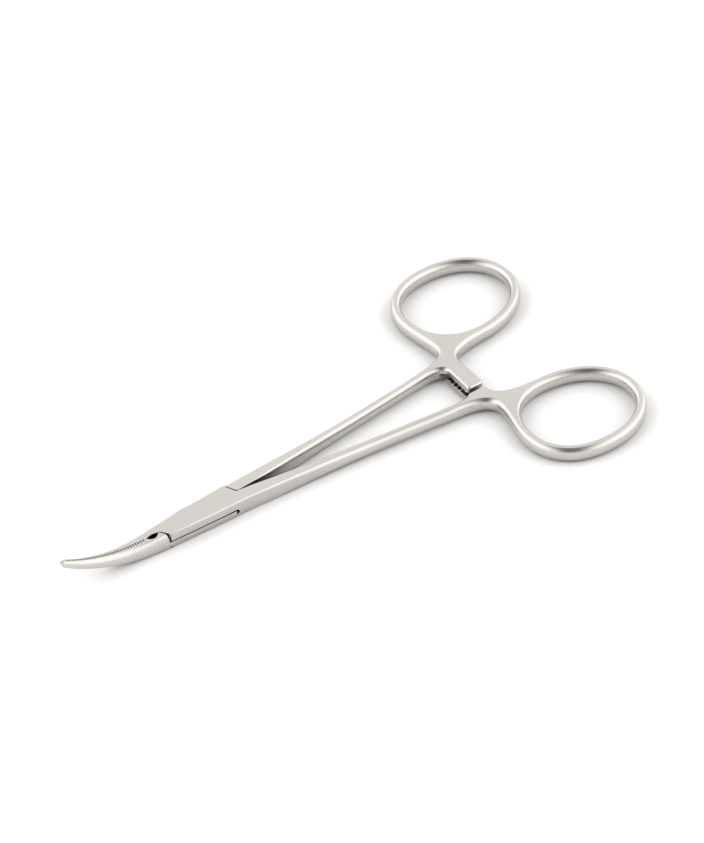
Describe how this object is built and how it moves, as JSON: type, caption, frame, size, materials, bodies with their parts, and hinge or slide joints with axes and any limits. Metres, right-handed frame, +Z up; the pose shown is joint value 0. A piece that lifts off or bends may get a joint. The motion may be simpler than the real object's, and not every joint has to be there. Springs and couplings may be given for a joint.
{
  "type": "mosquito forceps",
  "caption": "Curved mosquito forceps: slim box-lock clamp with serrated upturned jaws, finger rings and a ratchet, in satin steel.",
  "frame": {"origin": "on the pivot axis, at the underside of the box lock", "axes": "-X towards the jaw tips, +X towards the finger rings, +Z up, the way the jaws curve, along the pivot axis"},
  "size_m": [0.1251, 0.0676, 0.0085],
  "materials": {
    "female_half": "satin stainless steel",
    "male_half": "satin stainless steel",
    "pivot_pin": "satin stainless steel, ground flush"
  },
  "bodies": {
    "female": {"female_half": "female_half", "pivot_pin": "pivot_pin"},
    "male": {"male_half": "male_half"}
  },
  "joints": [
    {"name": "box_lock", "type": "hinge", "parent": "female", "child": "male", "pos_m": [0, 0, 0], "axis": [0, 0, 1], "range_deg": [0, 65]}
  ]
}
